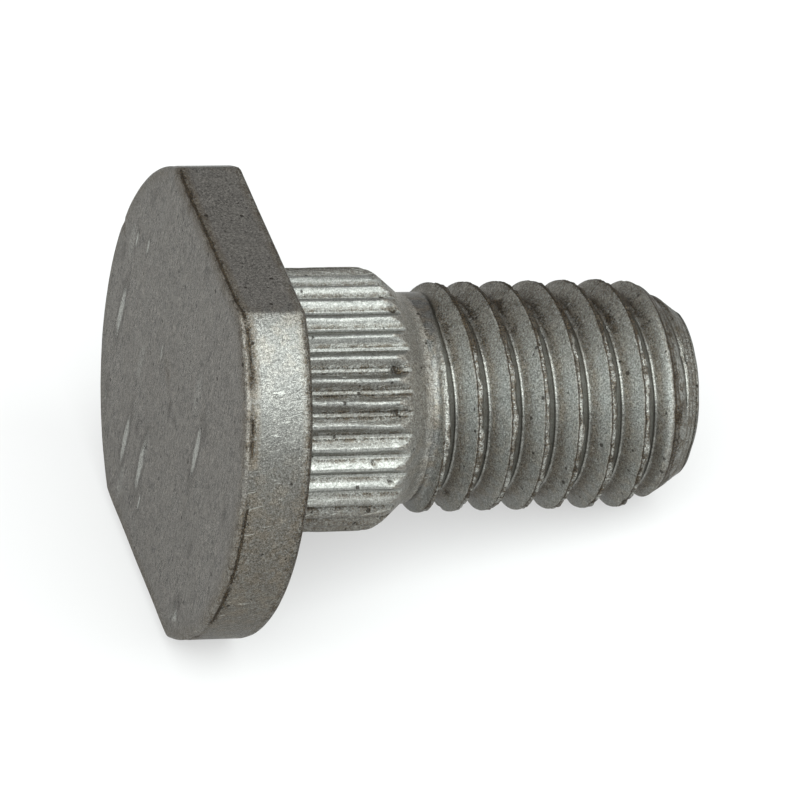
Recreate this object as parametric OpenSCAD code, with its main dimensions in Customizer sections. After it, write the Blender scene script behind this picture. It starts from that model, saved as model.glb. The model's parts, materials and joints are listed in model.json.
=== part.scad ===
// Cutter bar bolt: a flat round head with two flats, a neck with straight
// pressed teeth, a short plain shank and a rolled metric thread.
// It is one forged and rolled piece. It is drawn along +Z, with the head's
// outer face at zero, and then laid on its side as it comes to rest.

/* [Head] */
// Diameter of the round head
head_d = 19.9; // [18.6:0.1:24]
// Distance across the two flats of the head
across_flats = 17.2; // [15:0.1:18]
// Thickness of the head
head_h = 3; // [2.2:0.1:5]
// Rounding of the edge round the head's outer face
face_edge_r = 0.25; // [0.1:0.05:0.5]
// Rounding of the head's edge on the seat side
seat_edge_r = 0.3; // [0.1:0.05:0.6]
// Rounding of the corners where the flats meet the rim
corner_r = 0.4; // [0.1:0.05:0.8]

/* [Toothed neck] */
// Diameter over the teeth
neck_d = 11.2; // [10.8:0.1:13]
// Number of straight teeth
tooth_count = 36; // [26:1:40]
// Angle of the first tooth from the lower flat
tooth_turn = 4; // [0:0.5:10]
// Depth of the grooves between the teeth
tooth_h = 0.32; // [0.2:0.02:0.4]
// Width of the land on top of a tooth
tooth_land = 0.14; // [0.08:0.02:0.2]
// Angle between the two flanks of a groove
groove_angle = 86; // [70:1:100]
// Length of the full teeth, from the seat
neck_len = 5.2; // [3:0.1:6]
// Slope of the neck's end, measured from the axis
neck_slope = 40; // [30:1:50]
// Rounding at the start of the neck's sloping end
neck_end_r = 1; // [0.3:0.1:1.3]
// Hollow rounding from the sloping end into the plain shank
shank_blend_r = 0.9; // [0.3:0.1:1]

/* [Plain shank] */
// Diameter of the plain shank, which is the blank that the thread is rolled on
shank_d = 9; // [8.8:0.05:9.3]
// Length of the plain shank between the neck's end and the thread
shank_len = 0.5; // [0.2:0.1:2]

/* [Thread] */
// Outer diameter of the thread
thread_d = 9.8; // [9.7:0.05:10]
// Distance from one crest to the next
pitch = 1.5; // [1.35:0.05:1.75]
// Angle between the two flanks of the thread
flank_angle = 60; // [50:1:65]
// Depth of the thread, from crest to root
thread_h = 0.9; // [0.7:0.02:0.95]
// Width of the crest
crest_w = 0.3; // [0.16:0.02:0.36]
// Length over which the rolled thread grows to its full depth
run_in = 1.3; // [1:0.1:4]
// Angle round the axis at which the thread starts, from the lower flat
thread_phase = 90; // [0:5:355]

/* [Tip] */
// Length of the bolt under its head
bolt_len = 19.5; // [16:0.1:30]
// Diameter of the flat end
tip_d = 7.4; // [6:0.1:8]
// Slope of the tip's chamfer, measured from the axis
tip_slope = 30; // [25:1:45]
// Rounding of the edge round the flat end
tip_edge_r = 0.3; // [0.1:0.05:0.5]

/* [Hidden] */

// Smoothness of the round parts
$fn = 96;
// Flat facets round one turn of the thread
turn_facets = 48;
// How far a part reaches into its neighbour where the two are joined
overlap = 0.5;
// How far the thread's first ring lies inside the plain shank
ring_inset = 0.02;
// Turns of rows that are laid out before the thread's start and past its end, to be cut off there
lead_turns = 3;
spare_turns = 2;
// Least distance from a ring of the thread to its flat start and end
ring_gap = 0.004;
steel = "#8f8d89";

head_r = head_d / 2;
flat_x = across_flats / 2;
neck_r = neck_d / 2;
groove_r = neck_r - tooth_h;
shank_r = shank_d / 2;
thread_r = thread_d / 2;
tip_r = tip_d / 2;

// Places along the axis, from the head's outer face
seat_z = head_h;
neck_full_z = seat_z + neck_len;
tip_z = seat_z + bolt_len;

// The neck's end: a rounding, a straight slope and a hollow rounding
slope_r = neck_r - shank_r - (neck_end_r + shank_blend_r) * (1 - cos(neck_slope));
slope_len = slope_r / tan(neck_slope);
neck_end_z = neck_full_z + (neck_end_r + shank_blend_r) * sin(neck_slope) + slope_len;
thread_z = neck_end_z + shank_len;

// The tip's chamfer meets the thread's outer diameter here
chamfer_z = tip_z - (thread_r - tip_r) / tan(tip_slope);

// One tooth and the groove after it, as angles round the axis and distances from it
tooth_angle = 360 / tooth_count;
land_angle = asin(tooth_land / 2 / neck_r);
foot_angle = land_angle + asin(tooth_h * tan(groove_angle / 2) / groove_r);
one_tooth = [
    [-land_angle, neck_r],
    [land_angle, neck_r],
    [foot_angle, groove_r],
    [tooth_angle - foot_angle, groove_r],
];

// One turn of the thread, from crest to crest: place along the pitch and depth under the crest
flank_w = thread_h * tan(flank_angle / 2);
// Share of the flank that stays straight before the root's rounding
straight = 0.84;
root_w = pitch - crest_w - 2 * flank_w;
thread_turn = [
    [crest_w / 2, 0],
    [crest_w / 2 + flank_w * straight, thread_h * straight],
    [pitch / 2 - root_w / 4, thread_h],
    [pitch / 2 + root_w / 4, thread_h],
    [pitch - crest_w / 2 - flank_w * straight, thread_h * straight],
    [pitch - crest_w / 2, 0],
];
rows = len(thread_turn);

// How the bolt lies: the seat-side edge of the lower flat and the last full crest touch the floor
edge_x = flat_x - seat_edge_r;
edge_z = seat_z - seat_edge_r;
crest_turns = floor((chamfer_z - thread_z) / pitch - thread_phase / 360);
crest_z = min(chamfer_z, thread_z + pitch * (crest_turns + thread_phase / 360) + crest_w / 2);
rest_angle = atan((edge_x - thread_r) / (crest_z - edge_z))
    + asin(seat_edge_r / norm([crest_z - edge_z, edge_x - thread_r]));
rest_height = edge_x * cos(rest_angle) + edge_z * sin(rest_angle) + seat_edge_r;

// Ends of the lying bolt along the floor, and the middle between them; the rounding of the tip's
// edge touches the flat end and the chamfer at tip_touch from their corner
back_x = face_edge_r * cos(rest_angle) - (flat_x - face_edge_r) * sin(rest_angle) - face_edge_r;
tip_touch = tip_edge_r * tan((90 - tip_slope) / 2);
front_x = (tip_z - tip_edge_r) * cos(rest_angle) + (tip_r - tip_touch) * sin(rest_angle) + tip_edge_r;
middle_x = (back_x + front_x) / 2;

// Rounded bar of length 2 * half_y along Y, for the head's two flats
module flats_bar(half_x, half_y, height, low_r, high_r) {
    rotate([90, 0, 0])
        linear_extrude(2 * half_y, center = true)
            edge_profile(half_x, height, low_r, high_r, both = true);
}

// Section of a plate with rounded edges, to one side of its middle or to both
module edge_profile(half_x, height, low_r, high_r, both = false) {
    inner_x = both ? -half_x : 0;
    difference() {
        translate([inner_x, 0])
            square([half_x - inner_x, height]);
        edge_cut(half_x, 0, low_r, 1);
        edge_cut(half_x, height, high_r, -1);
        if (both) {
            mirror([1, 0])
                edge_cut(half_x, 0, low_r, 1);
            mirror([1, 0])
                edge_cut(half_x, height, high_r, -1);
        }
    }
}

// Waste outside one rounded edge; turn is 1 at a lower edge and -1 at an upper one
module edge_cut(x, y, r, turn) {
    difference() {
        translate([x - r, turn > 0 ? y - overlap : y - r])
            square([r + overlap, r + overlap]);
        translate([x - r, y + turn * r])
            circle(r);
    }
}

// Outline of the head from above: a circle with two flats and rounded corners
module head_outline() {
    corner_x = flat_x - corner_r;
    corner_y = sqrt((head_r - corner_r) ^ 2 - corner_x ^ 2);
    rim_point = [corner_x, corner_y] * head_r / (head_r - corner_r);
    sharp_y = sqrt(head_r ^ 2 - flat_x ^ 2);
    difference() {
        intersection() {
            circle(head_r);
            square([2 * flat_x, 2 * head_r], center = true);
        }
        for (a = [0, 1], b = [0, 1])
            mirror([a, 0])
                mirror([0, b])
                    polygon([
                        [flat_x, corner_y],
                        rim_point,
                        rim_point + [corner_r, corner_r],
                        [flat_x + corner_r, sharp_y],
                    ]);
    }
    for (a = [-1, 1], b = [-1, 1])
        translate([a * corner_x, b * corner_y])
            circle(corner_r);
}

// The flat round head
module head() {
    intersection() {
        rotate_extrude()
            edge_profile(head_r, head_h, face_edge_r, seat_edge_r);
        flats_bar(flat_x, head_d, head_h, face_edge_r, seat_edge_r);
        linear_extrude(head_h)
            head_outline();
    }
}

// Half section of the neck and the plain shank, with the neck's rounded end
module neck_section() {
    normal = [cos(neck_slope), sin(neck_slope)];
    round_centre = [neck_r - neck_end_r, neck_full_z];
    hollow_centre = [shank_r + shank_blend_r, neck_end_z];
    difference() {
        union() {
            polygon([
                [0, seat_z - overlap],
                [neck_r, seat_z - overlap],
                [neck_r, neck_full_z],
                round_centre + neck_end_r * normal,
                hollow_centre - shank_blend_r * normal,
                [shank_r, neck_end_z],
                [shank_r, thread_z],
                [0, thread_z],
            ]);
            translate(round_centre)
                circle(neck_end_r);
        }
        translate(hollow_centre)
            circle(shank_blend_r);
    }
}

// Prism with all the teeth, longer than the neck
module teeth() {
    rotate([0, 0, tooth_turn])
        linear_extrude(thread_z + overlap)
            polygon([
                for (i = [0 : tooth_count - 1])
                    for (corner = one_tooth)
                        let (angle = i * tooth_angle + corner[0])
                        corner[1] * [cos(angle), sin(angle)]
            ]);
}

// The toothed neck and the plain shank
module neck() {
    intersection() {
        rotate_extrude()
            neck_section();
        teeth();
    }
}

// Height of the thread's row k on facet line i: rows climb one pitch in each turn
function row_z(k, i) =
    thread_z + pitch * (floor(k / rows) - lead_turns + i / turn_facets + thread_phase / 360)
    + thread_turn[k % rows][0];

// How far the rolled thread has grown at a height, from 0 to 1
function grown(z) =
    let (t = min(1, max(0, (z - thread_z) / run_in)))
    t * t * (3 - 2 * t);

// Distance of the thread's row k from the axis, at its height
function row_r(k, z) =
    let (full = thread_r - thread_turn[k % rows][1])
    shank_r - ring_inset + grown(z) * (full - shank_r + ring_inset);

function on_facet(r, z, i) = [r * cos(360 * i / turn_facets), r * sin(360 * i / turn_facets), z];

// The thread as one closed body: rows that follow the helix, cut off square at both ends
module rolled_thread() {
    start_z = thread_z - overlap;
    end_z = tip_z + overlap;
    row_total = rows * (ceil((end_z - thread_z) / pitch) + lead_turns + spare_turns);
    inside = [
        for (i = [0 : turn_facets - 1])
            [
                for (k = [0 : row_total])
                    let (z = row_z(k, i))
                    if (z > thread_z + ring_gap && z < end_z - ring_gap) k
            ]
    ];
    first = [for (list = inside) list[0]];
    last = [for (list = inside) list[len(list) - 1]];
    counts = [for (i = [0 : turn_facets - 1]) last[i] - first[i] + 3, 0];
    offsets = [for (i = 0, sum = 0; i <= turn_facets; sum = sum + counts[i], i = i + 1) sum];
    points = [
        for (i = [0 : turn_facets - 1])
            each [
                on_facet(row_r(first[i], thread_z), start_z, i),
                for (k = inside[i])
                    on_facet(row_r(k, row_z(k, i)), row_z(k, i), i),
                on_facet(thread_r - thread_h, end_z, i),
            ]
    ];
    function at(i, k) =
        let (j = i % turn_facets)
        let (row = i < turn_facets ? k : k + rows)
        offsets[j] + min(max(row, first[j] - 1), last[j] + 1) - first[j] + 1;
    walls = [
        for (i = [0 : turn_facets - 1])
            for (k = [0 : row_total])
                let (a = at(i, k), b = at(i + 1, k), c = at(i + 1, k + 1), d = at(i, k + 1))
                each [
                    if (a != d) [a, d, c],
                    if (b != c) [a, c, b],
                ]
    ];
    start_face = [for (i = [0 : turn_facets - 1]) at(i, 0)];
    end_face = [for (i = [turn_facets - 1 : -1 : 0]) at(i, row_total)];
    polyhedron(points, concat(walls, [start_face, end_face]));
}

// Half section that trims the thread to its chamfered tip
module tip_section() {
    wide_r = thread_r + overlap;
    wide_z = chamfer_z - overlap / tan(tip_slope);
    polygon([
        [0, thread_z - 2 * overlap],
        [wide_r, thread_z - 2 * overlap],
        [wide_r, wide_z],
        [tip_r + tip_touch * sin(tip_slope), tip_z - tip_touch * cos(tip_slope)],
        [tip_r - tip_touch, tip_z],
        [0, tip_z],
    ]);
    translate([tip_r - tip_touch, tip_z - tip_edge_r])
        circle(tip_edge_r);
}

// The bolt standing on its head's outer face
module upright_bolt() {
    head();
    neck();
    intersection() {
        rolled_thread();
        rotate_extrude()
            tip_section();
    }
}

// The bolt as it lies at rest
module bolt() {
    color(steel)
        translate([-middle_x, 0, rest_height])
            rotate([0, 90 + rest_angle, 0])
                upright_bolt();
}

bolt();
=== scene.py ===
"""Looks of the cutter bar bolt: one forged and rolled steel bolt in a dull zinc coat.

The whole bolt is one closed mesh round its own axis. Level rings make the head, the toothed neck,
the shank and the tip, and rows that climb one pitch in a turn make the rolled thread.
Sizes in the functions are in millimetres; the mesh is laid in place and scaled at the end.
"""

import json
import math

import bpy
import numpy as np
from bpy.props import FloatProperty, FloatVectorProperty, IntProperty, PointerProperty
from mathutils import Matrix, Vector, noise


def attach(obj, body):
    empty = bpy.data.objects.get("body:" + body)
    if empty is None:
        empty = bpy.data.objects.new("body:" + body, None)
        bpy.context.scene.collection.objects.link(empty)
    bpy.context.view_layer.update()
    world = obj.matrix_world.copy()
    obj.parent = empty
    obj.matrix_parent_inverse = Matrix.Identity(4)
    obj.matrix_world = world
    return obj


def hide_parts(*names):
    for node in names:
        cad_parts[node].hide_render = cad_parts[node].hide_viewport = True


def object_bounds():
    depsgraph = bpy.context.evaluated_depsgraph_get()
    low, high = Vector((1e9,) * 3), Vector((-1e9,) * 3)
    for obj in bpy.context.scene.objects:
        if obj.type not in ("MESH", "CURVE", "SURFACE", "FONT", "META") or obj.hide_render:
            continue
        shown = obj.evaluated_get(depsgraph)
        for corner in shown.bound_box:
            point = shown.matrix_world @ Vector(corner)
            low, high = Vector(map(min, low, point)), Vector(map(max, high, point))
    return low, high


bl_info = {
    "name": "Cutter bar bolt",
    "version": (1, 0, 0),
    "blender": (4, 5, 0),
    "location": "3D View > Sidebar > Bolt",
    "description": "Builds a worn zinc-coated cutter bar bolt and its plain studio",
    "category": "Add Mesh",
}

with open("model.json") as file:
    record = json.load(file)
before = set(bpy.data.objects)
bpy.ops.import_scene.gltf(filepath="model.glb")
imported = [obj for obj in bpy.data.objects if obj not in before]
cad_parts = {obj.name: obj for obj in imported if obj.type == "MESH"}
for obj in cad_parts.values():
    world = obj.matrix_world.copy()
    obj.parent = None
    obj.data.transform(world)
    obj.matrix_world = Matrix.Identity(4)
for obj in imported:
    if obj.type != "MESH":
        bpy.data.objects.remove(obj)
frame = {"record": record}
CAD_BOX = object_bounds()

MM = 0.001
PIECE = "forged_bolt"
# Values kept at each point of the mesh for the finish: dirt that also paints shade, rubbed edges that also paint
# highlights, pale coat that partly paints light, the outer face
MARKS = ("grime", "rubbed", "pale", "face_side")


def length(name, description, mm):
    """A size that the user may change, given in millimetres and kept in metres."""
    return FloatProperty(
        name=name, description=description, default=mm * MM, min=0.0, precision=5, unit="LENGTH", subtype="DISTANCE"
    )


def linear(hex_colour):
    """Scene-linear red, green and blue of an sRGB colour written as #rrggbb."""
    parts = [int(hex_colour[i:i + 2], 16) / 255 for i in (1, 3, 5)]
    return tuple(c / 12.92 if c <= 0.04045 else ((c + 0.055) / 1.055) ** 2.4 for c in parts)


def colour(name, description, hex_colour):
    """A colour that the user may change, written as an sRGB hex value."""
    return FloatVectorProperty(
        name=name, description=description, default=linear(hex_colour), size=3, min=0.0, max=1.0, subtype="COLOR"
    )


class BoltHeadSizes(bpy.types.PropertyGroup):
    diameter: length("Head diameter", "Across the round sides of the head", 19.9)
    across_flats: length("Across flats", "Between the head's two flats", 17.2)
    thickness: length("Head thickness", "From the outer face to the seat", 3.0)
    face_edge: length("Face edge", "Rounding between the outer face and the rim", 0.25)
    seat_edge: length("Seat edge", "Rounding between the rim and the seat", 0.3)
    corner: length("Corner", "Rounding where a flat meets the rim", 0.4)
    crease: length("Crease depth", "Depth of the trimming crease round the outer face", 0.09)


class BoltNeckSizes(bpy.types.PropertyGroup):
    diameter: length("Neck diameter", "Over the teeth", 11.2)
    teeth: IntProperty(name="Teeth", description="Number of pressed teeth", default=36, min=12, max=60)
    first_tooth: FloatProperty(
        name="First tooth", description="Angle from the lower flat", default=math.radians(4),
        unit="ROTATION", subtype="ANGLE",
    )
    tooth_depth: length("Tooth depth", "From the land to the groove's floor", 0.32)
    land: length("Land", "Width of the land on top of a tooth", 0.14)
    groove_angle: FloatProperty(
        name="Groove angle", description="Between the two flanks of a groove", default=math.radians(86),
        unit="ROTATION", subtype="ANGLE",
    )
    length: length("Full teeth", "Length of the full teeth from the seat", 5.2)
    slope: FloatProperty(
        name="End slope", description="Slope of the neck's end from the axis", default=math.radians(40),
        unit="ROTATION", subtype="ANGLE",
    )
    end_round: length("End rounding", "Rounding at the start of the slope", 1.0)
    hollow: length("Hollow", "Hollow rounding into the shank", 0.6)
    shank: length("Shank diameter", "The plain shank before the thread", 9.0)
    shank_length: length("Shank length", "Plain shank between the neck's end and the thread", 0.02)


class BoltThreadSizes(bpy.types.PropertyGroup):
    diameter: length("Thread diameter", "Over the crests", 9.8)
    pitch: length("Pitch", "From one crest to the next", 1.5)
    run_in: length("Run-in", "Length over which the thread grows", 0.6)
    start: FloatProperty(
        name="Start", description="Angle of the first crest from the lower flat", default=math.radians(221.4),
        unit="ROTATION", subtype="ANGLE",
    )
    under_head: length("Length under head", "From the seat to the flat end", 19.5)
    tip: length("Tip diameter", "Diameter of the flat end", 7.4)
    tip_slope: FloatProperty(
        name="Tip slope", description="Slope of the chamfer from the axis", default=math.radians(30),
        unit="ROTATION", subtype="ANGLE",
    )
    tip_edge: length("Tip edge", "Rounding round the flat end", 0.3)


class BoltFinish(bpy.types.PropertyGroup):
    # The grime and oiled colours also paint shade, the worn colour also paints highlights, and the pale coat partly
    # paints light on the thread and the neck
    coat: colour("Coat", "The zinc coat where it is whole", "#72726e")
    coat_dull: colour("Dull coat", "The coat where it has gone dull", "#6b6b68")
    wiped: colour("Wiped coat", "The warmer coat of the outer face", "#77746f")
    grime: colour("Grime", "Dark dirt in the recesses", "#2f2a25")
    oiled: colour("Oiled dirt", "Browner dirt that still shines with oil", "#6a5c48")
    pale: colour("Pale coat", "The pale dull coat on the thread's flanks", "#999c98")
    worn: colour("Worn steel", "Coat rubbed bright on edges", "#b3b4ae")
    wear_seed: IntProperty(name="Wear seed", description="Changes where the nicks fall", default=7, min=0)


class BoltStudio(bpy.types.PropertyGroup):
    floor: colour("Table", "The pale table that the bolt lies on", "#d9d9d8")
    key_power: FloatProperty(
        name="Key light", description="Power of the soft light beside the camera", default=3.9, min=0.0, unit="POWER"
    )
    azimuth: FloatProperty(
        name="Camera azimuth", description="Camera's turn from the side view", default=math.radians(15.89),
        unit="ROTATION", subtype="ANGLE",
    )
    elevation: FloatProperty(
        name="Camera elevation", description="Camera's height above the table", default=math.radians(39.776),
        unit="ROTATION", subtype="ANGLE",
    )
    roll: FloatProperty(
        name="Camera roll", description="Camera's turn in the picture", default=math.radians(-0.602),
        unit="ROTATION", subtype="ANGLE",
    )
    distance: length("Camera distance", "From the camera to the bolt", 300.0)


def rough(points, grain, seed):
    """Smooth noise at each point, about 0 to 1, with bumps of one grain."""
    shift = Vector((17.31 * seed, 5.17 * seed, 9.73 * seed))
    return np.array([noise.noise(Vector(p) / grain + shift) for p in points]) * 0.5 + 0.5


def smooth(x):
    """Eased step from 0 to 1."""
    t = np.clip(x, 0.0, 1.0)
    return t * t * (3 - 2 * t)


def flaws(points, grain, seed, level, rise, depth):
    """Scattered flaws of one depth, where smooth noise lies above a level."""
    return smooth((rough(points, grain, seed) - level) * rise) * depth


def uneven(points, grain, seed, swing):
    """Smooth noise about zero, half the swing to each side."""
    return (rough(points, grain, seed) - 0.5) * swing


def around(angles, side):
    """1 near one side of the bolt, easing to 0 further round; a side is its angle, reach and level."""
    middle, reach, level = side
    return smooth(level - np.abs((angles - middle + 180.0) % 360.0 - 180.0) / reach)


def polar(radius, angle, z):
    """Points from a distance to the axis, an angle in degrees and a height."""
    radius, angle, z = np.broadcast_arrays(radius, angle, z)
    turn = np.radians(angle)
    return np.stack([radius * np.cos(turn), radius * np.sin(turn), z], -1)


def head_outline(angle, inset, head):
    """Distance to the head's outline drawn in by inset: a circle with two flats and rounded corners."""
    # Angle from the nearer flat's middle
    folded = np.abs((angle + 90.0) % 180.0 - 90.0)
    turn = np.radians(folded)
    radius, flat, corner = head.diameter / MM / 2, head.across_flats / MM / 2, head.corner / MM
    # The middle of the corner's arc; the arc shrinks as the outline is drawn in, and is never quite sharp
    cx = flat - corner
    cy = math.sqrt((radius - corner) ** 2 - cx ** 2)
    arc = np.maximum(corner - inset, 0.02)
    along = cx * np.cos(turn) + cy * np.sin(turn)
    on_arc = along + np.sqrt(np.maximum(along ** 2 - (cx ** 2 + cy ** 2) + arc ** 2, 0.0))
    first, last = np.degrees(np.arctan2(cy, cx + arc)), math.degrees(math.atan2(cy, cx))
    on_flat = (flat - inset) / np.cos(np.radians(np.minimum(folded, 80.0)))
    return np.where(folded < first, on_flat, np.where(folded > last, radius - inset, on_arc))


# Degrees from a flat's end to the two columns on that corner, and the least angle between columns
CORNER_COLUMNS = (0.1, 1.1)
LEAST_APART = 0.15


def column_angles(head, neck):
    """Angles of the mesh's columns: ten to a tooth, on its edges, and two on each corner of the head."""
    pitch = 360.0 / neck.teeth
    land, foot = tooth_angles(neck)
    # To each side of a tooth's middle: two at the edge of its land, one on its flank, two at its foot
    half = [0.7 * land, 1.25 * land, (land + foot) / 2, foot - 0.015 * pitch, foot + 0.05 * pitch]
    one = sorted([-h for h in half] + half)
    angles = [(math.degrees(neck.first_tooth) + i * pitch + a) % 360.0 for i in range(neck.teeth) for a in one]
    flat, radius, corner = head.across_flats / MM / 2, head.diameter / MM / 2, head.corner / MM
    last = math.degrees(math.acos((flat - corner) / (radius - corner)))
    for base in (0.0, 180.0):
        for side in (-1, 1):
            for back in CORNER_COLUMNS:
                angle = (base + side * (last - back)) % 360.0
                if min(abs(angle - a) for a in angles) > LEAST_APART:
                    angles.append(angle)
    return np.array(sorted(angles))


def tooth_angles(neck):
    """Half angle of a tooth's land and angle of its foot, in degrees from the tooth's middle."""
    radius, depth = neck.diameter / MM / 2, neck.tooth_depth / MM
    land = math.degrees(math.asin(neck.land / MM / 2 / radius))
    return land, land + math.degrees(math.asin(depth * math.tan(neck.groove_angle / 2) / (radius - depth)))


def from_tooth(angle, neck):
    """Angle to the middle of the nearest tooth, in degrees."""
    pitch = 360.0 / neck.teeth
    return np.abs((angle - math.degrees(neck.first_tooth) + pitch / 2) % pitch - pitch / 2)


def tooth_radius(angle, neck):
    """Distance of the toothed surface from the axis."""
    land, foot = tooth_angles(neck)
    share = np.clip((from_tooth(angle, neck) - land) / (foot - land), 0.0, 1.0)
    return neck.diameter / MM / 2 - neck.tooth_depth / MM * share


def neck_places(head, neck):
    """Heights at which the neck's full teeth end, its slope starts and ends, and the shank starts."""
    full = (head.thickness + neck.length) / MM
    drop = (neck.diameter - neck.shank) / MM / 2
    both = (neck.end_round + neck.hollow) / MM
    straight = (drop - both * (1 - math.cos(neck.slope))) / math.tan(neck.slope)
    slope_start = full + neck.end_round / MM * math.sin(neck.slope)
    slope_end = slope_start + straight
    return full, slope_start, slope_end, slope_end + neck.hollow / MM * math.sin(neck.slope)


def neck_radius(z, head, neck):
    """Distance of the neck's end from the axis without its teeth: rounding, slope and hollow."""
    full, slope_start, slope_end, shank_start = neck_places(head, neck)
    end_round, hollow = neck.end_round / MM, neck.hollow / MM
    rounding = neck.diameter / MM / 2 - end_round + np.sqrt(np.maximum(end_round ** 2 - (z - full) ** 2, 0.0))
    start_r = neck.diameter / MM / 2 - end_round * (1 - math.cos(neck.slope))
    straight = start_r - (z - slope_start) * math.tan(neck.slope)
    ending = neck.shank / MM / 2 + hollow - np.sqrt(np.maximum(hollow ** 2 - (shank_start - z) ** 2, 0.0))
    sloped = np.where(z < slope_start, rounding, np.where(z < slope_end, straight, ending))
    return np.where(z < full, neck.diameter / MM / 2, np.where(z > shank_start, neck.shank / MM / 2, sloped))


# One pitch of the rolled thread, from the middle of its crest towards the tip: place along the
# axis, depth under the crest, grime, rubbed brightness and how pale the coat is. The narrow crest
# has a lap line on its head side and a rough rubbed burr on its tip side; the root is rounded, and
# the flank that faces the head is slightly hollow. The rubbed brightness in the root is a painted
# highlight, the grime on the head-facing flank just past the root is painted shade, and the pale
# coat on both flanks partly paints the light on them.
THREAD_TURN = [
    (0.00, 0.030, 1.00, 0.1, 0.1),
    (0.05, 0.000, 0.75, 1.0, 0.0),
    (0.10, 0.000, 0.70, 1.0, 0.0),
    (0.15, 0.015, 0.72, 1.0, 0.0),
    (0.20, 0.075, 0.80, 1.0, 0.0),
    (0.29, 0.245, 0.55, 0.5, 0.35),
    (0.42, 0.455, 0.40, 0.3, 0.50),
    (0.55, 0.640, 0.35, 0.3, 0.50),
    (0.63, 0.755, 0.20, 0.4, 0.30),
    (0.69, 0.820, 0.10, 0.3, 0.0),
    (0.74, 0.848, 0.00, 0.4, 0.0),
    (0.79, 0.845, 0.00, 0.4, 0.0),
    (0.84, 0.815, 0.25, 0.1, 0.0),
    (0.90, 0.765, 0.45, 0.0, 0.0),
    (1.00, 0.665, 0.35, 0.0, 0.2),
    (1.12, 0.505, 0.10, 0.0, 0.8),
    (1.25, 0.298, 0.00, 0.0, 1.0),
    (1.37, 0.085, 0.05, 0.0, 1.0),
    (1.42, 0.020, 0.35, 0.1, 0.8),
    (1.46, 0.008, 0.97, 0.1, 0.2),
]
# Rows of that table that make the lap line, the burr, and the places where the burr is wide
LAP = (0,)
BURR = (1, 2, 3, 4)
WIDE = (3, 4, 5)
# The crest wanders along the axis: its middle and the reach to each side, in millimetres
CREST_MIDDLE, CREST_REACH = 0.08, 0.24
# The rolls came down later on one side: that angle, and how much later in millimetres
LATE_SIDE, LATE_START = 142.0, 0.9
# Where the tip's cone cuts the thread: grime, rubbed brightness and pale coat, and how much of the
# thread's own marks is left
CONE_MARKS, CONE_FADE = (0.55, 0.1, 0.0), 0.6

# Sides of the bolt as around() takes them, with angles counted from the lower flat.
# The thread's two sides towards its upper and lower outline, darkened as painted shade, each with its strength, and
# the share of pale coat lost there, which darkens them too
SHADED_SIDES = (((140.0, 75.0, 1.3), 0.60), ((310.0, 70.0, 1.3), 0.13))
PALE_LOST_IN_SHADE = 0.55
# The lower rim, darkened as painted shade; the neck's teeth with a painted highlight and those with painted shade;
# and the darker teeth at its outline
LOW_RIM = (318.0, 38.0, 2.2)
HIGHLIT_TEETH = (268.0, 20.0, 1.5)
SHADED_TEETH = (234.0, 24.0, 1.3)
OUTLINE_TEETH = ((308.0, 22.0, 1.6), (142.0, 14.0, 1.6))
# The rim's front is rubbed brightest round this angle, a painted highlight, over this many degrees to each side
RIM_FRONT, RIM_REACH = 237.0, 13.0

# The head's flats: half the angle that they take, the angle over which they fade into the round
# rim, how much smaller their edge is than the rim's, and how deep that edge lies in millimetres
FLAT_END, FLAT_FADE, FLAT_CRISP, FLAT_SUNK = 34.0, 8.0, 0.6, 0.03
# Width of the trimming crease and fillet between the seat and the neck, in millimetres
CREASE_WIDTH, SEAT_FILLET = 0.24, 0.14
# Rings of the head: shares of the outer face; degrees round the face edge, each with how rubbed it
# is; places of the crease in millimetres, each with its depth and dirt; shares of the rim; and
# degrees round the seat edge, each with its rub and dirt
FACE_RINGS = (0.03, 0.12, 0.24, 0.36, 0.48, 0.6, 0.72, 0.84, 0.93)
FACE_EDGE = ((0, 0.0), (25, 0.1), (50, 0.25), (75, 0.2))
CREASE = ((0.02, 0.5, 0.7), (0.07, 1.0, 1.0), (0.14, 0.9, 1.0), (CREASE_WIDTH, 0.0, 0.3))
RIM_RINGS = (0.12, 0.3, 0.5, 0.7, 0.88, 0.97)
SEAT_EDGE = ((90, 0.1, 0.7), (60, 0.1, 1.0), (30, 0.0, 0.8), (0, 0.0, 0.5))
# Rings of the seat and of its fillet, and of the flat end's edge and its face
SEAT_RINGS, FILLET_RINGS = (0.25, 0.5, 0.75, 0.93), (0, 45)
TIP_EDGE, TIP_RINGS = (20, 40, 60), (1.0, 0.86, 0.66, 0.44, 0.22, 0.05)
# A column belongs to a tooth's foot when it is this near to it, in degrees; it is darkened there as painted shade
FOOT_REACH = 0.25
# Rows of the full teeth, of the neck's end and of the tip's cone
TOOTH_ROWS, END_ROWS, TIP_ROWS = 30, 24, 9
# Length of the tip that has level rings, and depths of its turned ridges, row by row, in millimetres
TIP_LENGTH, RIDGES = 0.72, (0.0, 0.045, 0.02)
# Small dents anywhere and deeper pits near the neck's end, between these heights in millimetres
DENTS, NECK_PITS, NECK_END = 60, 36, (7.2, 8.9)
# Their sizes and depths in millimetres, each between two limits, and the dirt that they hold
DENT_SIZE, DENT_DEPTH, DENT_DIRT = (0.12, 0.34), (0.02, 0.07), 0.3
PIT_SIZE, PIT_DEPTH, PIT_DIRT = (0.09, 0.2), (0.08, 0.2), 1.2
# Rows this near to a level ring, in millimetres, are joined to it
JOINED = 0.003


class Rings:
    """Level rings of the mesh from the head towards the tip, each with its marks for the finish."""

    def __init__(self, angles):
        self.angles = angles
        self.rows = []

    def add(self, radius, height, grime=0.0, rubbed=0.0, pale=0.0, face=0.0):
        """One ring; each value is a number or one number to a column."""
        full = np.ones(len(self.angles))
        self.rows.append([full * value for value in (radius, height, grime, rubbed, pale, face)])


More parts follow.
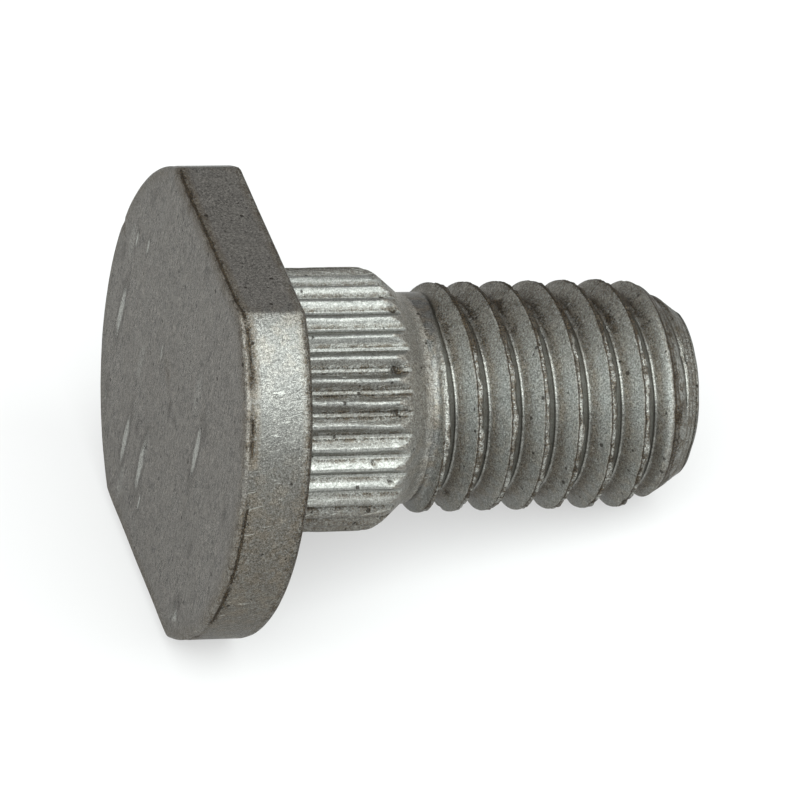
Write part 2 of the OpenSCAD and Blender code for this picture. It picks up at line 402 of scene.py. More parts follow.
def head_rings(rings, head, seed):
    """The outer face, its edge with the trimming crease, the rim, the seat edge and the seat."""
    angles = rings.angles
    seat_edge, seat = head.seat_edge / MM, head.thickness / MM
    folded = np.abs((angles + 90.0) % 180.0 - 90.0)
    on_flat = smooth((FLAT_END - folded) / FLAT_FADE)
    on_round = 1.0 - on_flat
    edge = head.face_edge / MM * (1.0 - FLAT_CRISP * on_flat)
    # The flats' crisper edges lie a little deeper, so that they stay inside the bolt's own box
    sunk = FLAT_SUNK * on_flat
    inner = head_outline(angles, edge + sunk, head)
    for share in FACE_RINGS:
        rings.add(inner * share, 0.0, face=1.0)
    # How far the crease goes: it is broken on the round sides and nearly whole on the flats
    along = polar(head.diameter / MM / 2, angles, 0.0)
    broken = smooth((rough(along, 1.6, seed) - 0.15 + 0.35 * on_flat) * 3.5)
    broken = broken * (0.5 + 0.5 * rough(along, 0.3, seed + 1))
    for beta, rubbed in FACE_EDGE:
        turn = math.radians(beta)
        inset, z = edge * (1 - math.sin(turn)), edge * (1 - math.cos(turn))
        rings.add(
            head_outline(angles, inset + sunk, head), z + 0.5 * sunk, rubbed=0.5 * rubbed * on_round, face=0.6,
            grime=broken * (0.35 + 0.45 * on_flat + 0.5 * (beta > 40) * on_round),
        )
    rim = head_outline(angles, sunk, head)
    depth = head.crease / MM * broken
    # Painted shade on the lower rim: more grime in its crease and on the rim, and less rub
    low_rim = around(angles, LOW_RIM)
    for place, share, darker in CREASE:
        rings.add(
            rim - depth * share, edge + place, face=0.5 * on_flat,
            grime=np.clip(broken * (0.4 + (0.9 + 0.5 * low_rim + 0.6 * on_flat) * darker), 0.0, 1.0),
        )
    last = seat - seat_edge
    # Painted highlight: the rim's front is rubbed brighter than the rest
    front = np.exp(-((angles - RIM_FRONT) / RIM_REACH) ** 2)
    polish_and_highlight = (0.1 + 0.13 * front) * on_round * (1.0 - low_rim) + 0.1 * on_flat
    for share in RIM_RINGS:
        rings.add(
            rim, edge + CREASE_WIDTH + share * (last - edge - CREASE_WIDTH), rubbed=polish_and_highlight,
            grime=0.35 * (share > 0.95) + 0.33 * low_rim, face=0.85 * on_flat,
        )
    for beta, rubbed, grime in SEAT_EDGE:
        turn = math.radians(beta)
        inset, z = seat_edge * (1 - math.sin(turn)), seat - seat_edge * (1 - math.cos(turn))
        rings.add(head_outline(angles, inset + sunk, head), z, rubbed=rubbed, grime=grime)
    return head_outline(angles, seat_edge + sunk, head)


def neck_rings(rings, head, neck, seed, seat_outline):
    """The seat, the neck with its pressed teeth, its sloping end and the plain shank."""
    angles = rings.angles
    seat, land_r, depth = head.thickness / MM, neck.diameter / MM / 2, neck.tooth_depth / MM
    full, _, _, shank_start = neck_places(head, neck)
    teeth = tooth_radius(angles, neck)
    for share in SEAT_RINGS:
        rings.add(seat_outline + (teeth + SEAT_FILLET - seat_outline) * share, seat, grime=0.1 + 0.5 * share)
    for beta in FILLET_RINGS:
        turn = math.radians(beta)
        out, up = SEAT_FILLET * (1 - math.sin(turn)), SEAT_FILLET * (1 - math.cos(turn))
        rings.add(teeth + out, seat + up, grime=0.7)
    heights = np.concatenate([
        np.linspace(seat + SEAT_FILLET, full, TOOTH_ROWS), np.linspace(full, shank_start, END_ROWS)[1:],
        [shank_start + neck.shank_length / MM],
    ])
    # Painted highlight on the teeth round the lower front, and painted shade on the flanks of the teeth facing the
    # front
    bright, dull = around(angles, HIGHLIT_TEETH), around(angles, SHADED_TEETH)
    outline = np.maximum(*(around(angles, side) for side in OUTLINE_TEETH))
    # A dark line at each tooth's foot is painted shade
    corner = np.abs(from_tooth(angles, neck) - tooth_angles(neck)[1]) < FOOT_REACH
    for z in heights:
        # The teeth wander a little to each side, and their lands are worn in long uneven places
        wander = uneven(polar(land_r, angles, z * 0.45), 1.1, seed + 2, 0.75)
        worn = uneven(polar(land_r, angles, z * 0.6), 0.5, seed + 3, 0.07)
        teeth = tooth_radius(angles + wander, neck)
        on_land = (teeth - (land_r - depth)) / depth
        teeth = teeth - np.maximum(worn, 0.0) * on_land
        slope = neck_radius(np.full(len(angles), z), head, neck)
        toothed = slope >= teeth
        # The pale coat on the groove floors, on the teeth and on the slope partly paints light on them; the slope is
        # less dark where the highlight is painted
        dirt = np.clip(0.75 * corner + 0.3 * dull * (on_land < 0.95) + 0.4 * outline, 0.0, 1.0)
        polish_and_highlight = 0.34 - 0.12 * dull + 0.32 * bright - 0.22 * outline
        pale_and_lit = 0.15 * (on_land < 0.1) + 0.25 + 0.1 * bright - 0.13 * dull - 0.2 * outline
        rings.add(
            np.minimum(teeth, slope), z, grime=np.where(toothed, dirt, 0.3 - 0.2 * bright),
            rubbed=np.where(toothed, polish_and_highlight, 0.0), pale=np.where(toothed, pale_and_lit, 0.6), face=0.5 * ~toothed,
        )


def thread_rows(angles, first_z, last_z, neck, thread, seed):
    """Rows that climb one pitch in a turn, as radius, height and marks, and the number of rows to a turn."""
    pitch = thread.pitch / MM
    # Whole turns before the first ring, so that the rows' seam is covered all round
    lead = 3
    turns = math.ceil((last_z - first_z) / pitch) + lead + 1
    table = np.array(THREAD_TURN)
    per_turn = len(table)
    k = np.arange(per_turn * turns)
    row = k % per_turn
    offsets = table[row, 0]
    base = first_z + pitch * (k // per_turn - lead + math.degrees(thread.start) / 360.0) + offsets
    z = base[:, None] + pitch * angles[None, :] / 360.0
    crest, shank = thread.diameter / MM / 2, neck.shank / MM / 2
    inside = np.clip(z, first_z, last_z)
    late = LATE_START * ((1.0 - np.cos(np.radians(angles - LATE_SIDE - 180.0))) / 2) ** 4
    grown = smooth((inside - first_z - late[None, :]) / (thread.run_in / MM))
    points = polar(crest, np.broadcast_to(angles, z.shape), inside).reshape(-1, 3)
    lap, burr, wide = (np.broadcast_to(np.isin(row, rows)[:, None], z.shape) for rows in (LAP, BURR, WIDE))
    # The lap line is ragged in depth, and the burr is lumpy
    ragged = np.zeros(z.shape)
    ragged[lap] = flaws(points[lap.ravel()], 0.8, seed + 4, 0.35, 3.0, 0.035)
    ragged[burr] = flaws(points[burr.ravel()], 0.4, seed + 5, 0.42, 3.0, 0.05)
    ragged[burr] += flaws(points[burr.ravel()], 0.17, seed + 7, 0.5, 4.0, 0.035)
    # The crest wanders along the axis, and the burr is wide in places
    near = (offsets + pitch / 2) % pitch - pitch / 2
    near = np.clip(1.0 - np.abs(near - CREST_MIDDLE) / CREST_REACH, 0.0, 1.0)
    near = np.broadcast_to(near[:, None], z.shape)
    moved = near > 0
    wander = uneven(points[moved.ravel()], 0.6, seed + 10, 0.09) + uneven(points[moved.ravel()], 0.2, seed + 11, 0.06)
    z[moved] += wander * near[moved] * grown[moved]
    z[wide] += flaws(points[wide.ravel()], 1.3, seed + 13, 0.45, 4.0, 0.09) * grown[wide]
    full = crest - table[row, 1][:, None] - ragged
    radius = shank + grown * (full - shank)
    # The tip's cone trims what stands above it
    cone = thread.tip / MM / 2 + (last_tip(thread) - inside) * math.tan(thread.tip_slope)
    cut = cone < radius
    radius = np.where(cut, cone, radius)
    left = np.where(cut, CONE_FADE, 1.0)
    marks = [
        table[row, column][:, None] * grown * left + cut * on_cone for column, on_cone in zip((2, 3, 4), CONE_MARKS)
    ]
    # Painted shade: the thread grows darker, and less pale, towards its upper and lower outline
    for side, strength in SHADED_SIDES:
        darker = around(angles, side)[None, :]
        marks[0] = np.clip(marks[0] + strength * darker * grown * ~cut, 0.0, 1.0)
        marks[2] = marks[2] * (1.0 - PALE_LOST_IN_SHADE * darker)
    return radius, z, marks, per_turn


def last_tip(thread):
    """Height of the flat end above the head's outer face."""
    return (bpy.context.scene.bolt_head.thickness + thread.under_head) / MM


def tip_rings(rings, thread, last_z, tip_z, seed):
    """The end of the tip's cone with its faint turned ridges, its uneven edge and the flat end."""
    angles = rings.angles
    tip_r, slope, edge = thread.tip / MM / 2, thread.tip_slope, thread.tip_edge / MM
    touch = edge * math.tan((math.pi / 2 - slope) / 2)
    end = polar(tip_r, angles, 0.0)
    faint = rough(end, 0.8, seed + 6) * 0.02 + flaws(end, 1.5, seed + 12, 0.4, 3.0, 0.09)
    # The ridges are rubbed brighter, which also paints their highlights
    for step, z in enumerate(np.linspace(last_z, tip_z - touch * math.cos(slope), TIP_ROWS)):
        ridge = RIDGES[step % 3] * smooth(rough(polar(tip_r, angles, z), 1.6, seed + 14) * 3.0 - 0.8)
        rings.add(
            tip_r + (tip_z - z) * math.tan(slope) - ridge - faint * step / (TIP_ROWS - 1), z,
            rubbed=0.5 * (step % 3 != 1), grime=0.5,
        )
    for beta in TIP_EDGE:
        turn = math.radians(beta)
        arc_x, arc_z = tip_r - touch + edge * math.cos(turn), tip_z - edge + edge * math.sin(turn)
        rings.add(arc_x - faint, arc_z, rubbed=0.3, grime=0.3)
    for share in TIP_RINGS:
        rings.add((tip_r - touch) * share, tip_z, grime=0.1)


def build_bolt(head, neck, thread, seed):
    """Points, faces and marks of the whole bolt, in millimetres, along its own axis."""
    angles = column_angles(head, neck)
    count = len(angles)
    low = Rings(angles)
    seat_outline = head_rings(low, head, seed)
    neck_rings(low, head, neck, seed, seat_outline)
    # The thread takes over at the last ring's height
    first_z = float(low.rows[-1][1][0])
    tip_z = last_tip(thread)
    last_z = tip_z - TIP_LENGTH
    rows_r, rows_z, rows_marks, per_turn = thread_rows(angles, first_z, last_z, neck, thread, seed)
    high = Rings(angles)
    tip_rings(high, thread, last_z, tip_z, seed)

    points, marks, faces = [], [], []

    def add_rings(rings, start):
        """Keep the rings' points and marks, and return their numbers from start on, ring by ring."""
        for r, z, *mark in rings.rows:
            points.append(polar(r, angles, z))
            marks.append(np.stack(mark, -1))
        return start + np.arange(len(rings.rows) * count).reshape(-1, count)

    low_ids = add_rings(low, 0)
    high_ids = add_rings(high, low_ids.size)
    made = low_ids.size + high_ids.size
    ids = np.empty(rows_z.shape, int)
    before, after = rows_z <= first_z + JOINED, rows_z >= last_z - JOINED
    between = ~before & ~after
    ids[between] = made + np.arange(between.sum())
    columns = np.broadcast_to(np.arange(count), rows_z.shape)
    ids[before] = low_ids[-1][columns[before]]
    ids[after] = high_ids[0][columns[after]]
    points.append(polar(rows_r, np.broadcast_to(angles, rows_z.shape), rows_z)[between])
    marks.append(np.stack([*rows_marks, np.zeros(rows_z.shape)], -1)[between])

    def strip(lower, upper):
        """Faces between two rows of points, the second nearer the tip, without repeated corners."""
        a, b, c, d = lower[:-1], lower[1:], upper[1:], upper[:-1]
        for quad in zip(a.tolist(), b.tolist(), c.tolist(), d.tolist()):
            corners = [p for i, p in enumerate(quad) if p != quad[i - 1]]
            if len(corners) > 2:
                faces.append(corners)

    def closed(row):
        """A level row with its first point once more at its end."""
        return np.append(row, row[0])

    for grid in (low_ids, high_ids):
        for lower, upper in zip(grid[:-1], grid[1:]):
            strip(closed(lower), closed(upper))
    # A climbing row goes on, after its last column, in the row that starts one turn later
    top = len(ids) - 1
    for k in range(top):
        lower = np.append(ids[k], ids[min(k + per_turn, top), 0])
        upper = np.append(ids[k + 1], ids[min(k + 1 + per_turn, top), 0])
        strip(lower, upper)
    # The first turn of rows meets the seam one turn late, where all of it lies on the first ring
    assert before[:per_turn].all()
    faces.append(low_ids[0][::-1].tolist())
    faces.append(high_ids[-1].tolist())
    return (
        np.concatenate([p.reshape(-1, 3) for p in points]),
        np.concatenate([m.reshape(-1, len(MARKS)) for m in marks]),
        faces,
    )


def bolt_place():
    """Matrix from the bolt's own axes to the frame: its X points out of the lower flat, its Z to the tip."""
    seat = next(m for m in frame["record"]["mounts"] if m["name"] == "seat")
    axis = Vector(seat["axis"]).normalized()
    side = Vector((0.0, 1.0, 0.0))
    down = side.cross(axis)
    turn = Matrix((down, side, axis)).transposed()
    origin = Vector(seat["pos_m"]) - axis * bpy.context.scene.bolt_head.thickness
    return Matrix.Translation(origin) @ turn.to_4x4() @ Matrix.Scale(MM, 4)


def knock_in(mesh_points, normals, seed):
    """Small dents and unevenness, always inwards, so that the bolt stays inside its own sizes."""
    depth = rough(mesh_points, 2.4, seed + 8) * 0.02 + rough(mesh_points, 0.7, seed + 9) * 0.010
    rng = np.random.default_rng(seed)
    dirt = np.zeros(len(mesh_points))
    height = mesh_points[:, 2]
    on_neck = np.flatnonzero((height > NECK_END[0]) & (height < NECK_END[1]))
    picks = [*rng.choice(len(mesh_points), DENTS, replace=False), *rng.choice(on_neck, NECK_PITS, replace=False)]
    for place, pick in enumerate(picks):
        pit = place >= DENTS
        size = rng.uniform(*(PIT_SIZE if pit else DENT_SIZE))
        away = np.linalg.norm(mesh_points - mesh_points[pick], axis=1)
        hollow = np.exp(-(away / size) ** (4 if pit else 2))
        depth = depth + rng.uniform(*(PIT_DEPTH if pit else DENT_DEPTH)) * hollow
        dirt = dirt + (PIT_DIRT if pit else DENT_DIRT) * hollow
    return mesh_points - normals * depth[:, None], dirt


def make_piece(name, points, marks, faces, material):
    """A mesh object in the frame, with its marks kept as point values for the finish."""
    mesh = bpy.data.meshes.new(name)
    mesh.from_pydata(points.tolist(), [], faces)
    mesh.validate()
    normals = np.empty(len(mesh.vertices) * 3, np.float32)
    mesh.vertices.foreach_get("normal", normals)
    moved, dirt = knock_in(points, normals.reshape(-1, 3), bpy.context.scene.bolt_finish.wear_seed)
    marks[:, 0] = np.clip(marks[:, 0] + dirt, 0.0, 1.0)
    mesh.vertices.foreach_set("co", moved.ravel())
    mesh.transform(bolt_place())
    for column, mark in enumerate(MARKS):
        layer = mesh.attributes.new(mark, "FLOAT", "POINT")
        layer.data.foreach_set("value", np.ascontiguousarray(marks[:, column], np.float32))
    mesh.shade_smooth()
    mesh.materials.append(material)
    piece = bpy.data.objects.new(name, mesh)
    bpy.context.collection.objects.link(piece)
    return piece


def add_node(tree, kind, settings=None, inputs=None):
    """A node with its settings; an input is a value or the socket that feeds it."""
    node = tree.nodes.new(kind)
    for key, value in (settings or {}).items():
        setattr(node, key, value)
    for key, value in (inputs or {}).items():
        if isinstance(value, bpy.types.NodeSocket):
            tree.links.new(value, node.inputs[key])
        else:
            node.inputs[key].default_value = value
    return node


def per_mm(size):
    """Scale of a pattern whose grain is that many millimetres."""
    return 1.0 / (size * MM)


def zinc_coated_steel(finish):
    """Forged steel with a thin dull zinc coat: grey, softly shining, grainy, worn brighter on its
    edges and dark with oily dirt in its recesses; its marks also paint highlights, shade and light on it."""
    material = bpy.data.materials.new("zinc_coated_steel")
    material.use_nodes = True
    tree = material.node_tree
    tree.nodes.clear()
    place = add_node(tree, "ShaderNodeTexCoord").outputs["Object"]
    grime, rubbed, pale, face = (
        add_node(tree, "ShaderNodeAttribute", {"attribute_name": mark}).outputs["Fac"] for mark in MARKS
    )
    worn, black, oiled = ((*shade, 1.0) for shade in (finish.worn, finish.grime, finish.oiled))

    def grain(size, detail=2.0, roughness=0.5, vector=place):
        """Noise with bumps of a size in millimetres."""
        return add_node(
            tree, "ShaderNodeTexNoise", None,
            {"Vector": vector, "Scale": per_mm(size), "Detail": detail, "Roughness": roughness},
        ).outputs["Fac"]

    def spread(value, low, high, out_low=0.0, out_high=1.0):
        """A value between two limits, stretched to two others and held there beyond them."""
        return add_node(
            tree, "ShaderNodeMapRange", None,
            {"Value": value, "From Min": low, "From Max": high, "To Min": out_low, "To Max": out_high},
        ).outputs["Result"]

    def calc(kind, a, b):
        return add_node(tree, "ShaderNodeMath", {"operation": kind}, {0: a, 1: b}).outputs[0]

    def plus(a, b):
        return calc("ADD", a, b)

    def minus(a, b):
        return calc("SUBTRACT", a, b)

    def times(a, b):
        return calc("MULTIPLY", a, b)

    def larger(a, b):
        return calc("MAXIMUM", a, b)

    def turned(tilt, along):
        """The object's own coordinates turned about X and drawn out along one direction."""
        return add_node(
            tree, "ShaderNodeMapping", None,
            {"Vector": place, "Rotation": (math.radians(tilt), 0.0, 0.0), "Scale": (1.0, 1.0, along)},
        ).outputs["Vector"]

    def blend(share, a, b, kind="MIX"):
        """Two colours mixed by a share of the second."""
        return add_node(
            tree, "ShaderNodeMix", {"data_type": "RGBA", "blend_type": kind}, {0: share, 6: a, 7: b}
        ).outputs[2]

    # Clouds and patches of the coat are about as wide as the real ones. Its own grain, of some
    # hundredths of a millimetre, is too fine to show, so speck, flake and mottle are drawn coarser
    cloud = grain(2.2, 4.0, 0.6)
    patch = grain(0.55, 3.0, 0.6)
    speck = grain(0.1, 4.0, 0.9)
    flake = grain(0.055, 1.0, 0.6)
    # Pits are about a tenth of a millimetre across, on each second or third square millimetre
    pit_cells = add_node(
        tree, "ShaderNodeTexVoronoi", None, {"Vector": place, "Scale": per_mm(0.55), "Randomness": 1.0}
    )
    pit_size = spread(pit_cells.outputs["Color"], 0.35, 1.0, 0.02, 0.26)
    pit_edge = minus(pit_size, times(speck, 0.1))
    pits = spread(minus(pit_edge, pit_cells.outputs["Distance"]), -0.02, 0.02)

    # The outer face keeps fine wiping streaks
    streaks = grain(0.1, 4.0, 0.7, turned(4, 0.08))

    def nicks(tilt, apart, drawn, share, width):
        """Short strokes along one direction of the outer face, in a random scatter."""
        wavy = add_node(
            tree, "ShaderNodeVectorMath", {"operation": "ADD"},
            {0: turned(tilt, drawn), 1: add_node(
                tree, "ShaderNodeCombineXYZ", None, {"Y": times(patch, 0.25 * MM)}
            ).outputs[0]},
        ).outputs[0]
        split = add_node(tree, "ShaderNodeSeparateXYZ", None, {"Vector": wavy})
        flat = add_node(
            tree, "ShaderNodeCombineXYZ", None, {"X": split.outputs["Y"], "Y": split.outputs["Z"]}
        ).outputs[0]
        cells = add_node(
            tree, "ShaderNodeTexVoronoi", {"voronoi_dimensions": "2D"},
            {"Vector": flat, "Scale": per_mm(apart), "Randomness": 1.0},
        )
        picked = times(spread(cells.outputs["Color"], 1.0 - share, 1.0 - share + 0.02), outer)
        edge = plus(cells.outputs["Distance"], times(minus(speck, 0.5), width * 2))
        inside = times(picked, spread(edge, width, width * 0.7))
        round_it = times(picked, spread(edge, width * 1.9, width * 1.1))
        return inside, minus(round_it, inside)

    outer = spread(face, 0.9, 1.0)
    long_nicks, long_dark = nicks(10, 2.0, 0.22, 0.5, 0.15)
    short_nicks, short_dark = nicks(-35, 0.9, 0.25, 0.16, 0.13)
    deep = larger(long_nicks, short_nicks)
    dark = larger(long_dark, short_dark)
    scuffs = times(nicks(-12, 2.4, 0.35, 0.35, 0.16)[0], spread(speck, 0.5, 0.54))
    stains = times(nicks(70, 2.0, 0.5, 0.3, 0.16)[0], spread(speck, 0.4, 0.5))
    # Handling has left short bright strokes in a few places, and more on the rim's front, where its highlight is
    # painted
    strokes = add_node(
        tree, "ShaderNodeMapping", None,
        {"Vector": place, "Rotation": (0.0, math.radians(25), math.radians(-20)), "Scale": (0.12, 1.0, 1.0)},
    ).outputs["Vector"]
    drawn = grain(0.13, 1.0, 0.5, strokes)
    strokes = times(spread(drawn, 0.67, 0.71), spread(grain(3.5, 1.0), 0.55, 0.62))
    rim_front = times(spread(rubbed, 0.15, 0.19), spread(rubbed, 0.3, 0.26))
    strokes = larger(strokes, times(spread(drawn, 0.62, 0.67, 0.0, 0.7), rim_front))
    strokes = times(strokes, spread(face, 0.0, 0.3, 0.6, 0.0))

    # Dirt, with the shade that the marks paint, lies in mottled spots where the mesh's marks put it; the bright rub,
    # with the painted highlights, is broken up by grain
    mottle = grain(0.1, 4.0, 0.85)
    broad = plus(times(mottle, 0.6), times(patch, 0.4))
    dirt = times(grime, spread(broad, 0.54, 0.46, 0.12, 1.0))
    dirt = larger(dirt, spread(grime, 0.92, 1.0, 0.0, 0.9))
    rub_and_highlight = times(rubbed, spread(speck, 0.43, 0.55, 0.35, 1.0))
    rub_and_highlight = times(rub_and_highlight, spread(patch, 0.4, 0.58, 0.8, 1.15))
    # Thin dirt is brown with oil, and thick dirt is nearly black; the painted shade takes the same colours
    soil_and_shade = minus(flake, times(grime, 0.35))
    soil_and_shade = blend(spread(soil_and_shade, 0.12, 0.38), black, oiled)
    # The coat's colour, and then its tone, which the grain and the face's wiping streaks vary
    base = blend(spread(cloud, 0.35, 0.65), (*finish.coat_dull, 1.0), (*finish.coat, 1.0))
    # The pale coat is lighter; on the thread's flanks and on the neck's teeth, groove floors and slope it partly
    # paints the light on them
    base = blend(times(pale, spread(cloud, 0.25, 0.6, 0.75, 1.0)), base, (*finish.pale, 1.0))
    base = blend(face, base, (*finish.wiped, 1.0))
    tone = times(spread(speck, 0.4, 0.6, 0.64, 1.36), spread(flake, 0.25, 0.75, 0.45, 1.55))
    tone = times(tone, spread(patch, 0.3, 0.7, 0.93, 1.07))
    tone = times(tone, spread(mottle, 0.34, 0.42, 0.55, 1.0))
    wipe = minus(spread(streaks, 0.3, 0.7, -0.45, 0.45), spread(streaks, 0.38, 0.3, 0.0, 0.35))
    tone = plus(tone, times(wipe, face))
    # Rubbed parts are smoother, so their grain is fainter
    calm = spread(rubbed, 0.0, 0.4, 1.0, 0.55)
    tone = plus(times(minus(tone, 1.0), calm), 1.0)
    grey = add_node(tree, "ShaderNodeCombineColor", None, {"Red": tone, "Green": tone, "Blue": tone}).outputs[0]
    # A thin oily film in patches, least on the outer face, on rubbed edges and on the pale coat
    film = times(spread(patch, 0.44, 0.6, 0.0, 0.4), spread(face, 0.5, 0.8, 1.0, 0.1))
    film = times(film, spread(rubbed, 0.0, 0.2, 1.0, 0.1))
    film = times(film, spread(pale, 0.3, 1.0, 1.0, 0.35))
    base = blend(film, base, oiled)
    # Rubbed bright steel, which also paints the highlights on the rim's front, the lower teeth, the thread's root and
    # the tip's ridges
    base = blend(times(rub_and_highlight, 0.7), base, worn)
    base = blend(1.0, base, grey, "MULTIPLY")
    base = blend(times(scuffs, 0.5), base, worn)
    base = blend(strokes, base, worn)
    base = blend(times(deep, spread(speck, 0.42, 0.5)), base, worn)
    # Dirt darkens the coat, and so does the shade painted in the places that the marks give
    base = blend(dirt, base, soil_and_shade)
    base = blend(times(larger(dark, stains), 0.4), base, black)
    base = blend(times(pits, 0.8), base, black)

    # Roughness: higher where the coat is pale, dirty or painted with shade, lower where it is rubbed or painted with
    # a highlight
    gloss = spread(cloud, 0.3, 0.7, 0.25, 0.31)
    gloss = plus(gloss, times(pale, 0.2))
    gloss = plus(gloss, times(dirt, 0.25))
    gloss = minus(gloss, times(rub_and_highlight, 0.1))

    # Relief: the grain, crusted dirt, pits, nicks and streaks
    height = plus(times(speck, 0.5), times(flake, 0.4))
    height = times(height, spread(rubbed, 0.0, 0.5, 1.0, 0.7))
    height = plus(height, times(times(mottle, grime), 1.5))
    height = minus(height, times(pits, 1.2))
    height = minus(height, times(larger(deep, strokes), 2.0))
    height = plus(height, times(times(streaks, face), 0.4))
    bump = add_node(
        tree, "ShaderNodeBump", None, {"Height": height, "Strength": 1.0, "Distance": 0.03 * MM}
    ).outputs["Normal"]
    # The pale coat is half chalk; the tint holds back the glancing reflection, which is dull here
    shader = add_node(
        tree, "ShaderNodeBsdfPrincipled", None,
        {
            "Base Color": base, "Metallic": spread(pale, 0.0, 1.0, 1.0, 0.5), "Roughness": gloss, "Normal": bump,
            "Specular Tint": (0.6, 0.6, 0.6, 1.0),
        },
    )
    add_node(tree, "ShaderNodeOutputMaterial", None, {"Surface": shader.outputs[0]})
    return material


class BOLT_OT_forged_bolt(bpy.types.Operator):
    """Build the bolt as one closed mesh with its zinc coat, in place of the plain solid"""

    bl_idname = "bolt.forged_bolt"
    bl_label = "Forged bolt"

    def execute(self, context):
        scene = context.scene
        wear_seed = scene.bolt_finish.wear_seed
        points, marks, faces = build_bolt(scene.bolt_head, scene.bolt_neck, scene.bolt_thread, wear_seed)
        piece = make_piece(PIECE, points, marks, faces, zinc_coated_steel(scene.bolt_finish))
        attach(piece, "root")
        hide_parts("bolt")
        return {"FINISHED"}


# Half the table's side in metres, the share of plain white that the table shows to the camera, and
# the strength of the even light from all sides
TABLE_HALF, TABLE_WHITE, SKY_STRENGTH = 1.5, 0.5, 0.65
# The camera: where it aims, in millimetres to the right of the bolt's middle and above it; its
# sensor and lens in millimetres; and the nearest that it sees in metres
AIM_RIGHT, AIM_UP = -0.461, -1.572
SENSOR, LENS, NEAREST = 36.0, 319.8, 0.01
# The soft light, in metres: its size, and how far it stands behind, above and beside the camera's
# line from the bolt; and its tint
KEY_SIZE, KEY_BACK, KEY_UP, KEY_RIGHT = (0.80, 0.40), 0.36, 0.105, 0.08
KEY_TINT = (0.945, 1.0, 1.0)


def pale_table(scene, look):
    """The pale table: white to the camera and in reflections, dull in its light, with the bolt's shadow."""
    mesh = bpy.data.meshes.new("table")
    corners = [(x * TABLE_HALF, y * TABLE_HALF, 0) for x, y in ((-1, -1), (1, -1), (1, 1), (-1, 1))]
    mesh.from_pydata(corners, [], [(0, 1, 2, 3)])
    table = bpy.data.objects.new("table", mesh)
    scene.collection.objects.link(table)
    paper = bpy.data.materials.new("matt_white_paper")
    paper.use_nodes = True
    tree = paper.node_tree
    tree.nodes.clear()
    matt = add_node(tree, "ShaderNodeBsdfDiffuse", None, {"Color": (*look.floor, 1.0)}).outputs[0]
    lit = add_node(tree, "ShaderNodeEmission", None, {"Color": (1.0, 1.0, 1.0, 1.0), "Strength": 1.0}).outputs[0]
    ray = add_node(tree, "ShaderNodeLightPath").outputs
    seen = ray["Is Camera Ray"]
    for kind in ("Is Glossy Ray", "Is Transmission Ray"):
        seen = add_node(tree, "ShaderNodeMath", {"operation": "MAXIMUM"}, {0: seen, 1: ray[kind]}).outputs[0]
    share = add_node(tree, "ShaderNodeMath", {"operation": "MULTIPLY"}, {0: seen, 1: TABLE_WHITE}).outputs[0]
    both = add_node(tree, "ShaderNodeMixShader", None, {0: share, 1: matt, 2: lit}).outputs[0]
    add_node(tree, "ShaderNodeOutputMaterial", None, {"Surface": both})
    mesh.materials.append(paper)


def even_sky(scene):
    """Even white light from all sides."""
    world = bpy.data.worlds.new("even_white_light")
    world.use_nodes = True
    background = world.node_tree.nodes["Background"].inputs
    background["Color"].default_value = (1.0, 1.0, 1.0, 1.0)
    background["Strength"].default_value = SKY_STRENGTH
    scene.world = world


def photo_camera(scene, look, target, right, up, into):
    """The camera at the photo's angle, turned by its roll in the picture."""
    turned_right = math.cos(look.roll) * right + math.sin(look.roll) * up
    turned_up = math.cos(look.roll) * up - math.sin(look.roll) * right
    camera = bpy.data.objects.new("camera", bpy.data.cameras.new("camera"))
    camera.data.sensor_width = SENSOR
    camera.data.lens = LENS
    camera.data.clip_start = NEAREST
    camera.matrix_world = Matrix.Translation(target - into * look.distance) @ Matrix(
        (turned_right, turned_up, -into)
    ).transposed().to_4x4()
    scene.collection.objects.link(camera)
    scene.camera = camera


def soft_light(scene, look, target, right, up, into):
    """The soft key light beside the camera."""
    key_data = bpy.data.lights.new("key_light", "AREA")
    key_data.shape = "RECTANGLE"
    key_data.size, key_data.size_y = KEY_SIZE
    key_data.energy = look.key_power
    key_data.color = KEY_TINT
    key = bpy.data.objects.new("key_light", key_data)
    spot = target - into * KEY_BACK + up * KEY_UP + right * KEY_RIGHT
    key.matrix_world = Matrix.Translation(spot) @ (target - spot).to_track_quat("-Z", "Y").to_matrix().to_4x4()
    scene.collection.objects.link(key)


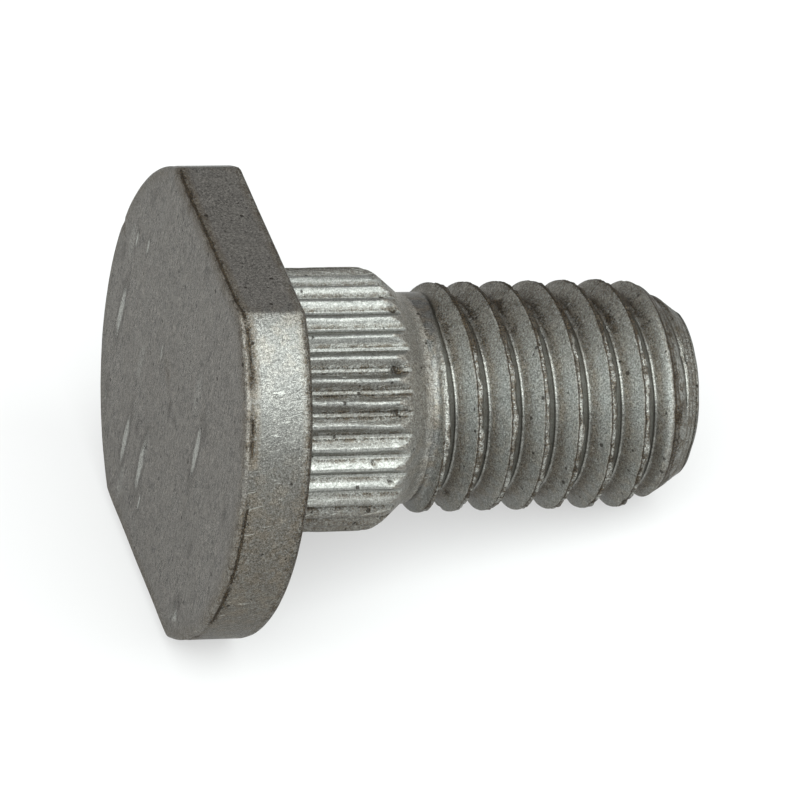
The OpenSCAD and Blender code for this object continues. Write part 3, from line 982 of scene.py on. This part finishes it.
class BOLT_OT_studio(bpy.types.Operator):
    """Set up the pale table, the even light and the camera"""

    bl_idname = "bolt.studio"
    bl_label = "Studio"

    def execute(self, context):
        scene = context.scene
        look = scene.bolt_studio
        pale_table(scene, look)
        even_sky(scene)
        # The photo's own axes: to its right, into it and up in it
        low, high = CAD_BOX
        right = Vector((math.cos(look.azimuth), -math.sin(look.azimuth), 0.0))
        into = Vector((
            math.sin(look.azimuth) * math.cos(look.elevation),
            math.cos(look.azimuth) * math.cos(look.elevation),
            -math.sin(look.elevation),
        ))
        up = right.cross(into)
        target = (low + high) / 2 + right * (AIM_RIGHT * MM) + up * (AIM_UP * MM)
        photo_camera(scene, look, target, right, up, into)
        soft_light(scene, look, target, right, up, into)
        scene.view_settings.view_transform = "Standard"
        return {"FINISHED"}


class BOLT_PT_sidebar(bpy.types.Panel):
    """Sizes, finish and studio with their two operators, in the sidebar"""

    bl_idname = "BOLT_PT_sidebar"
    bl_label = "Cutter bar bolt"
    bl_space_type = "VIEW_3D"
    bl_region_type = "UI"
    bl_category = "Bolt"

    def draw(self, context):
        for groups, operator in (
            (("bolt_head", "bolt_neck", "bolt_thread", "bolt_finish"), BOLT_OT_forged_bolt),
            (("bolt_studio",), BOLT_OT_studio),
        ):
            for name in groups:
                owner = getattr(context.scene, name)
                box = self.layout.box()
                for key in owner.__annotations__:
                    box.prop(owner, key)
            self.layout.operator(operator.bl_idname)


GROUPS = {
    "bolt_head": BoltHeadSizes,
    "bolt_neck": BoltNeckSizes,
    "bolt_thread": BoltThreadSizes,
    "bolt_finish": BoltFinish,
    "bolt_studio": BoltStudio,
}
CLASSES = (*GROUPS.values(), BOLT_OT_forged_bolt, BOLT_OT_studio, BOLT_PT_sidebar)


def register():
    for item in CLASSES:
        bpy.utils.register_class(item)
    for name, group in GROUPS.items():
        setattr(bpy.types.Scene, name, PointerProperty(type=group))


def unregister():
    for name in GROUPS:
        delattr(bpy.types.Scene, name)
    for item in reversed(CLASSES):
        bpy.utils.unregister_class(item)


def main():
    register()
    bpy.ops.bolt.forged_bolt()
    bpy.ops.bolt.studio()


if __name__ == "__main__":
    main()
